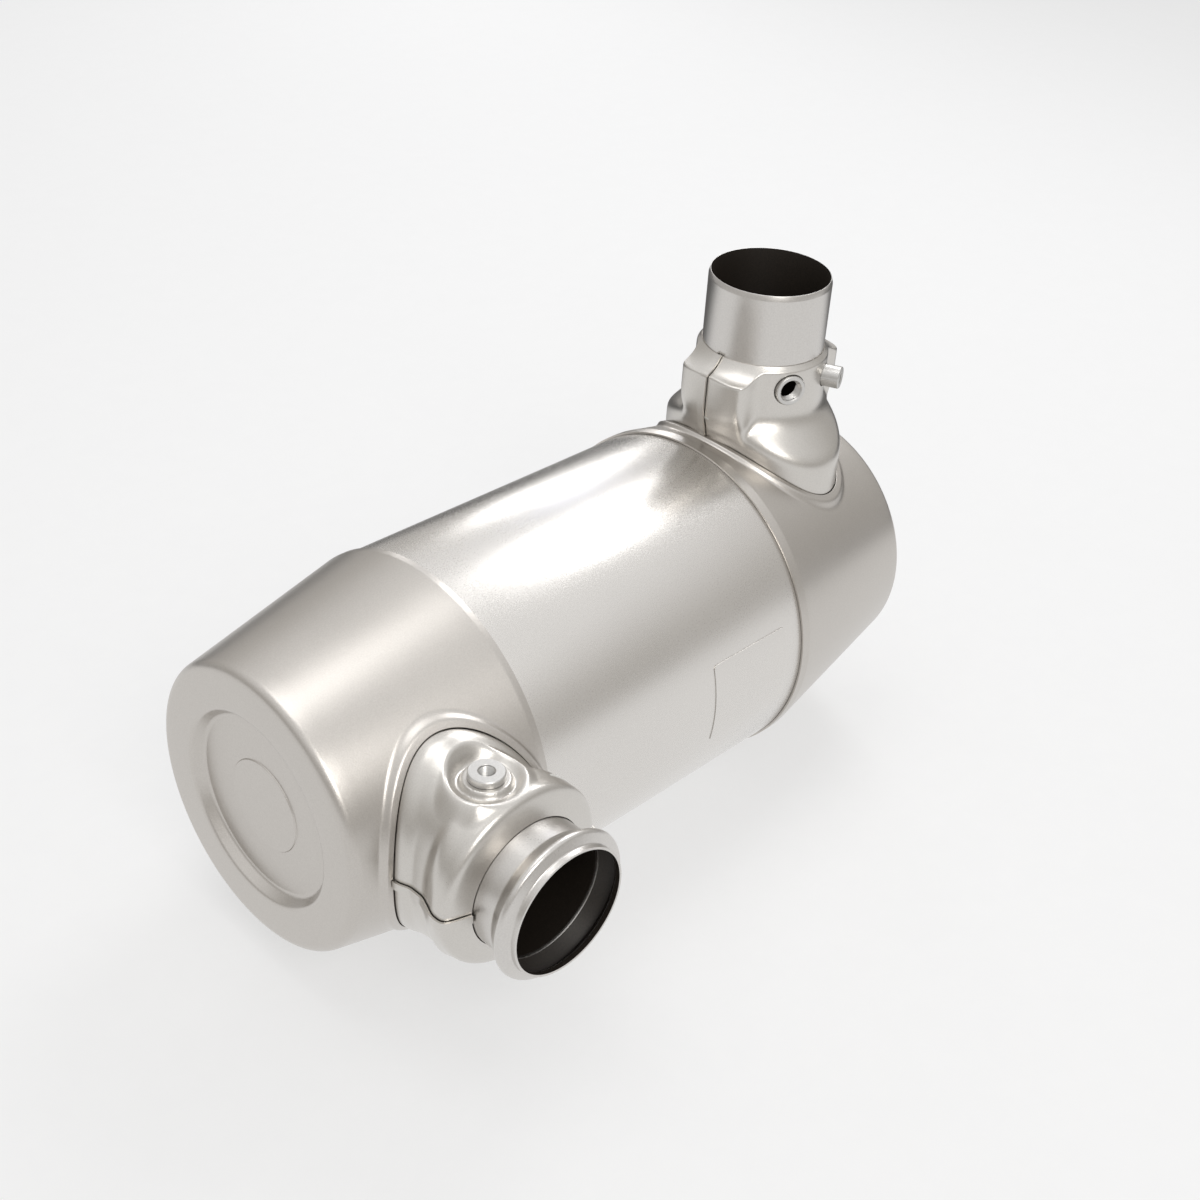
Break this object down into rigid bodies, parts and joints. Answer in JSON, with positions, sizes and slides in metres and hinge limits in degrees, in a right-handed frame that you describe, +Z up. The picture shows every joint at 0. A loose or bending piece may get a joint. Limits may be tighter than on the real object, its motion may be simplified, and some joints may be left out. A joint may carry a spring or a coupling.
{
  "type": "scr catalytic converter",
  "caption": "Insulated steel can with catalyst bricks, tapered end cups, an upright inlet neck at one end and a side outlet neck with a beaded tube and sensor bosses at the other.",
  "frame": {"origin": "on the can's axis at the middle of the can's bare length, the seat of its mounting straps", "axes": "+X along the can's axis toward the inlet end, +Z up the inlet neck's axis, -Y out of the outlet neck"},
  "size_m": [0.696, 0.4155, 0.4714],
  "materials": {
    "can_steel": "satin rolled stainless sheet",
    "plate_steel": "satin stainless plate",
    "cup_steel": "fine-grained drawn stainless sheet",
    "neck_steel": "fine-grained stamped stainless sheet",
    "tube_steel": "drawn stainless tube, dark inside",
    "boss_steel": "turned stainless steel",
    "inner_steel": "heat-dulled stainless sheet",
    "brick_ceramic": "coated honeycomb, matte",
    "mat_fibre": "pale ceramic fibre mat",
    "blanket_fibre": "white glass fibre blanket"
  },
  "bodies": {
    "root": {"catalyst_shell": "can_steel", "data_plate": "plate_steel", "scr_brick_upstream": "brick_ceramic", "scr_brick_downstream": "brick_ceramic", "ammonia_slip_brick": "brick_ceramic", "mat_upstream": "mat_fibre", "mat_downstream": "mat_fibre", "mat_slip": "mat_fibre", "stop_ring_inlet": "inner_steel", "stop_ring_outlet": "inner_steel", "inlet_housing": "cup_steel", "outlet_housing": "cup_steel", "inlet_liner": "inner_steel", "outlet_liner": "inner_steel", "flow_baffle": "inner_steel", "inlet_housing_blanket": "blanket_fibre", "outlet_housing_blanket": "blanket_fibre", "inlet_neck_blanket": "blanket_fibre", "outlet_neck_blanket": "blanket_fibre", "inlet_tube": "tube_steel", "outlet_tube": "tube_steel", "inlet_neck_front": "neck_steel", "inlet_neck_rear": "neck_steel", "outlet_neck_upper": "neck_steel", "outlet_neck_lower": "neck_steel", "nox_sensor_boss": "boss_steel", "inlet_port_boss": "boss_steel", "temperature_sensor_boss": "boss_steel"}
  },
  "joints": []
}
